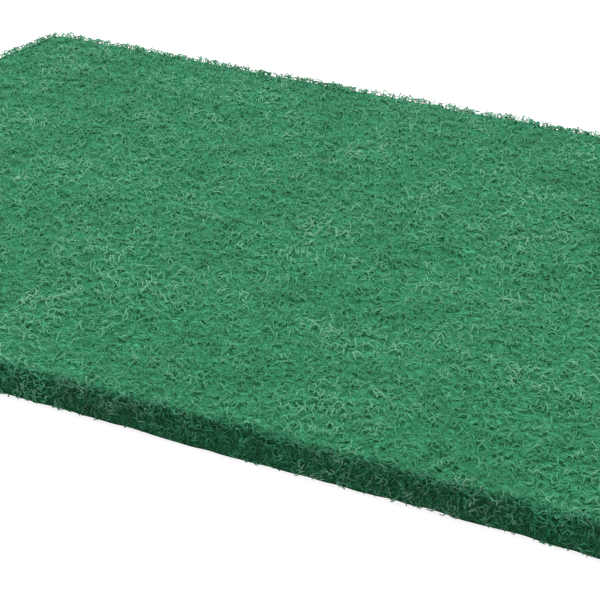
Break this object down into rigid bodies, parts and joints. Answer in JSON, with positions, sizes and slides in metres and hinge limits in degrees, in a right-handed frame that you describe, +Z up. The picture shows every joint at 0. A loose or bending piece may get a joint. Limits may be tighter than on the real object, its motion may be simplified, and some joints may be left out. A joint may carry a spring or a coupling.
{
  "type": "nylon scouring pad",
  "caption": "Flat oblong scouring pad of matted nylon web with soft cut edges, for scrubbing by hand or in a hook-faced holder.",
  "frame": {"origin": "under the middle of the pad, on the surface that it lies on", "axes": "+X along the long side, +Y along the short side, +Z up through the thickness"},
  "size_m": [0.229, 0.152, 0.007],
  "materials": {
    "green_web": "matte"
  },
  "bodies": {
    "root": {"scouring_pad": "green_web"}
  },
  "joints": []
}
